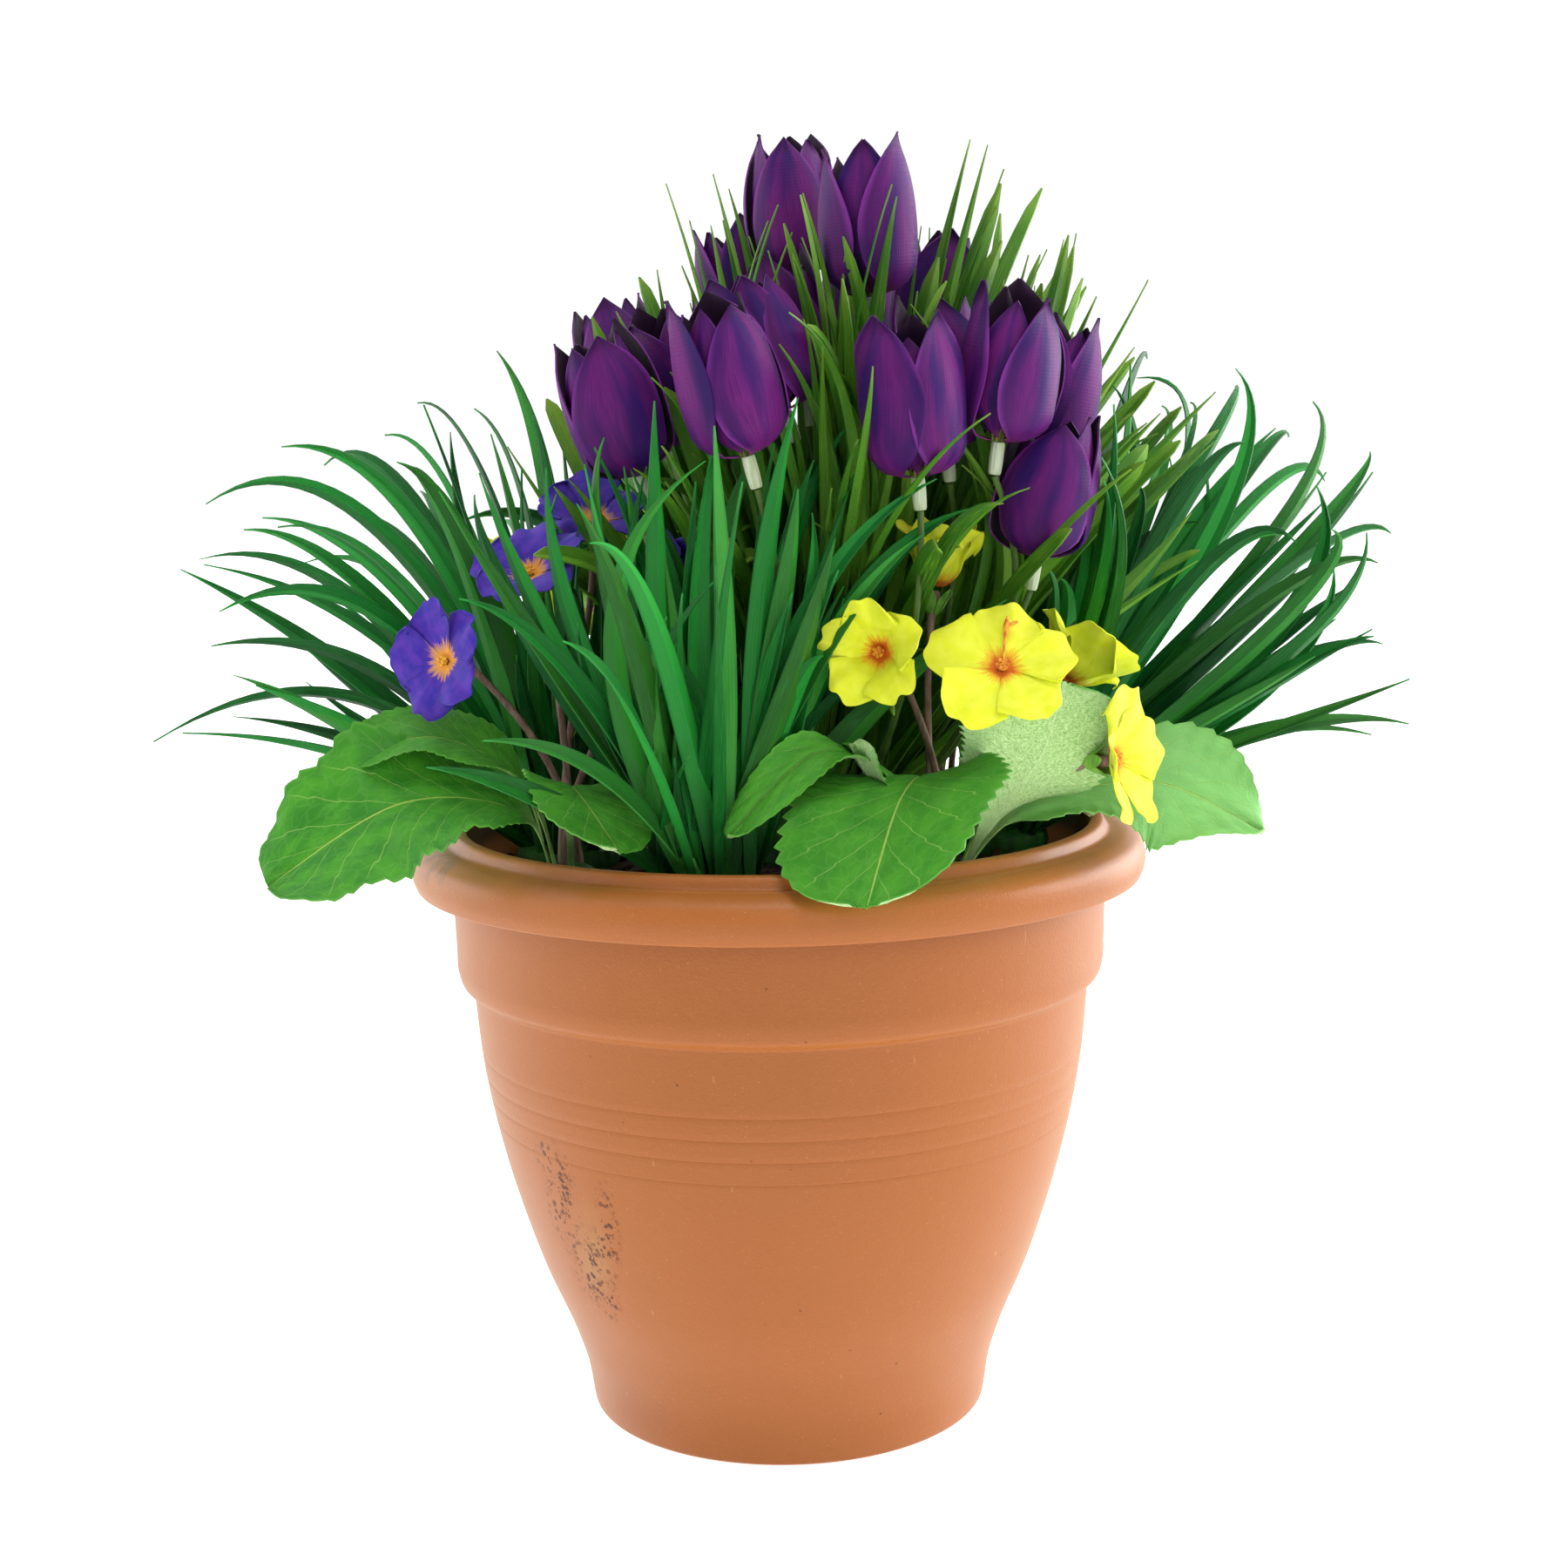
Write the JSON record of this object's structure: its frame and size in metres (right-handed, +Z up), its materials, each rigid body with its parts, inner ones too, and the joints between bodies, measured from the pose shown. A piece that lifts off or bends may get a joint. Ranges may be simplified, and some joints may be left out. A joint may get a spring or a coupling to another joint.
{
  "type": "tulip patio planter",
  "caption": "Bell-shaped terracotta-coloured plastic patio pot filled with artificial purple tulips, tufts of long grass, and yellow and violet primroses with broad leaves.",
  "frame": {"origin": "middle of the pot's foot, on the surface that it stands on", "axes": "+Z up along the pot's axis, -Y towards the front that the arrangement faces, +X to the right as seen from the front"},
  "size_m": [0.505, 0.41, 0.5186],
  "materials": {
    "terracotta_plastic": "satin terracotta-coloured plastic with a fine orange-peel grain",
    "potting_mix": "dark bark and peat mix, packed",
    "tulip_green": "soft moulded plastic, yellow green",
    "grass_green": "soft moulded plastic, blue green",
    "tulip_cloth": "printed polyester cloth, purple",
    "yellow_cloth": "printed polyester cloth, yellow",
    "violet_cloth": "printed polyester cloth, blue violet",
    "primrose_green": "printed polyester cloth on wire and plastic stalks, mid green"
  },
  "bodies": {
    "root": {"pot": "terracotta_plastic", "potting_mix": "potting_mix", "tulip_greens": "tulip_green", "tulip_bloom_01": "tulip_cloth", "tulip_bloom_02": "tulip_cloth", "tulip_bloom_03": "tulip_cloth", "tulip_bloom_04": "tulip_cloth", "tulip_bloom_05": "tulip_cloth", "tulip_bloom_06": "tulip_cloth", "tulip_bloom_07": "tulip_cloth", "tulip_bloom_08": "tulip_cloth", "tulip_bloom_09": "tulip_cloth", "tulip_bloom_10": "tulip_cloth", "tulip_bloom_11": "tulip_cloth", "tulip_bloom_12": "tulip_cloth", "tulip_bloom_13": "tulip_cloth", "tulip_bloom_14": "tulip_cloth", "tulip_bloom_15": "tulip_cloth", "tulip_bloom_16": "tulip_cloth", "tulip_bloom_17": "tulip_cloth", "tulip_bloom_18": "tulip_cloth", "grass_tuft_left": "grass_green", "grass_tuft_front": "grass_green", "grass_tuft_right": "grass_green", "grass_tuft_back": "grass_green", "primrose_yellow_front_greens": "primrose_green", "primrose_yellow_front_flower_1": "yellow_cloth", "primrose_yellow_front_flower_2": "yellow_cloth", "primrose_yellow_front_flower_3": "yellow_cloth", "primrose_yellow_front_flower_4": "yellow_cloth", "primrose_yellow_front_flower_5": "yellow_cloth", "primrose_violet_front_greens": "primrose_green", "primrose_violet_front_flower_1": "violet_cloth", "primrose_violet_front_flower_2": "violet_cloth", "primrose_violet_front_flower_3": "violet_cloth", "primrose_violet_front_flower_4": "violet_cloth", "primrose_yellow_back_greens": "primrose_green", "primrose_yellow_back_flower_1": "yellow_cloth", "primrose_yellow_back_flower_2": "yellow_cloth", "primrose_yellow_back_flower_3": "yellow_cloth", "primrose_violet_back_greens": "primrose_green", "primrose_violet_back_flower_1": "violet_cloth", "primrose_violet_back_flower_2": "violet_cloth", "primrose_violet_back_flower_3": "violet_cloth"}
  },
  "joints": []
}
